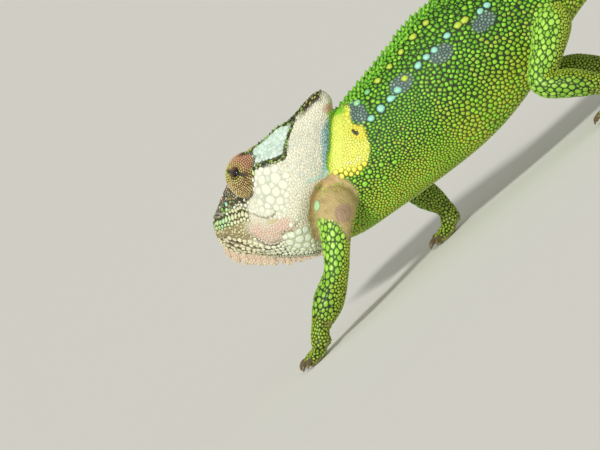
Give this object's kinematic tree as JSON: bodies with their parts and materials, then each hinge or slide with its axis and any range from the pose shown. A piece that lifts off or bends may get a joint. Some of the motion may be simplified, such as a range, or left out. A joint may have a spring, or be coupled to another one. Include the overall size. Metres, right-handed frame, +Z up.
{
  "type": "chameleon",
  "caption": "Life-size still chameleon standing on four grasping feet, with a tall casque, crested back, lobed throat and coiled tail.",
  "frame": {"origin": "middle of the model's box in plan, on the floor under its feet", "axes": "+X towards the tail, -X where the animal faces; -Y its left side; +Z up"},
  "size_m": [0.1188, 0.0366, 0.0372],
  "materials": {
    "face": "matt scaly skin, off-white with dark lines of small cones",
    "throat": "matt scaly skin, cream to pink with dark grooves",
    "turret": "fine-grained skin, orange brown",
    "eye": "wet, glossy and black",
    "shoulder_skin": "scaly skin, bright yellow",
    "body_skin": "scaly skin, bright green with dark skin between the scales",
    "leg_skin": "large light green scales over dark skin"
  },
  "bodies": {
    "root": {"belly": "body_skin", "chest": "body_skin", "eye_turret_left": "turret", "eye_turret_right": "turret", "eyeball_left": "eye", "eyeball_right": "eye", "forearm_left": "leg_skin", "forearm_right": "leg_skin", "front_foot_left": "leg_skin", "front_foot_right": "leg_skin", "head": "face", "hind_foot_left": "leg_skin", "hind_foot_right": "leg_skin", "lower_jaw": "throat", "neck": "shoulder_skin", "pelvis": "body_skin", "shin_left": "leg_skin", "shin_right": "leg_skin", "tail_1": "body_skin", "tail_2": "body_skin", "tail_3": "body_skin", "tail_4": "body_skin", "tail_5": "body_skin", "thigh_left": "leg_skin", "thigh_right": "leg_skin", "upper_arm_left": "leg_skin", "upper_arm_right": "leg_skin"}
  },
  "joints": []
}
